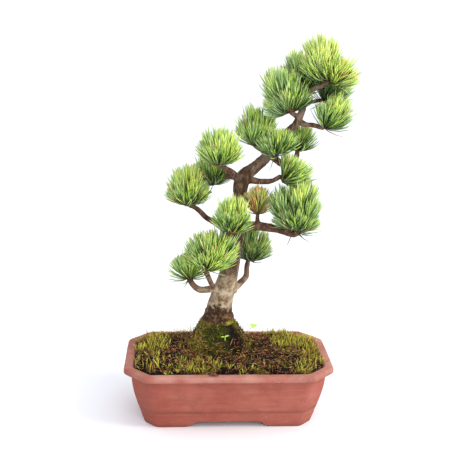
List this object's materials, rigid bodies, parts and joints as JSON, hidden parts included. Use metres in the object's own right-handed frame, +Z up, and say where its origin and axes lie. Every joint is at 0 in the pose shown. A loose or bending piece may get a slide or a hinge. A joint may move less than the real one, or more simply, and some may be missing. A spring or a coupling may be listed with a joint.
{
  "type": "bonsai tree in a pot",
  "caption": "Leaning pine bonsai with brush-like needle clusters, growing from a mossy mound in a canted terracotta pot that stands on corner feet.",
  "frame": {"origin": "on the surface that the pot stands on, under the middle of the whole object's box", "axes": "+Z up, +X to the right along the pot's long side, the way the tree leans, +Y to the back"},
  "size_m": [0.2734, 0.15, 0.4785],
  "materials": {
    "terracotta": "matte",
    "screen": "matte",
    "clip_wire": "satin",
    "soil": "matte",
    "ground_cover": "matte",
    "moss": "matte",
    "seedling": "matte",
    "dead_leaf": "matte",
    "bark": "matte",
    "twig_bark": "matte",
    "needles": "satin"
  },
  "bodies": {
    "root": {"pot": "terracotta", "drain_screen_left": "screen", "drain_screen_right": "screen", "screen_clip_left": "clip_wire", "screen_clip_right": "clip_wire", "soil": "soil", "ground_cover": "ground_cover", "moss_mound": "moss", "clover_seedling": "seedling", "mound_seedling": "seedling", "fallen_leaf": "dead_leaf", "trunk": "bark", "branch_low_left": "twig_bark", "branch_low_right": "twig_bark", "branch_front": "twig_bark", "branch_left": "twig_bark", "branch_right": "twig_bark", "twig_right": "twig_bark", "branch_mid_left": "twig_bark", "branch_mid_back": "twig_bark", "branch_mid_right": "twig_bark", "branch_upper_left": "twig_bark", "branch_upper_back": "twig_bark", "shoot_upper_front": "twig_bark", "shoot_apex_left": "twig_bark", "shoot_apex_right": "twig_bark", "shoot_apex_back": "twig_bark", "needles_crown": "needles", "needles_crown_right": "needles", "needles_crown_left": "needles", "needles_crown_back": "needles", "needles_apex_left": "needles", "needles_apex_right": "needles", "needles_apex_back": "needles", "needles_upper_left": "needles", "needles_upper_front": "needles", "needles_upper_back": "needles", "needles_mid_left": "needles", "needles_mid_back": "needles", "needles_left": "needles", "needles_front": "needles", "needles_front_right": "needles", "needles_mid_right": "needles", "needles_right": "needles", "needles_low_front": "needles", "needles_low_left": "needles", "needles_low_right": "needles"}
  },
  "joints": []
}
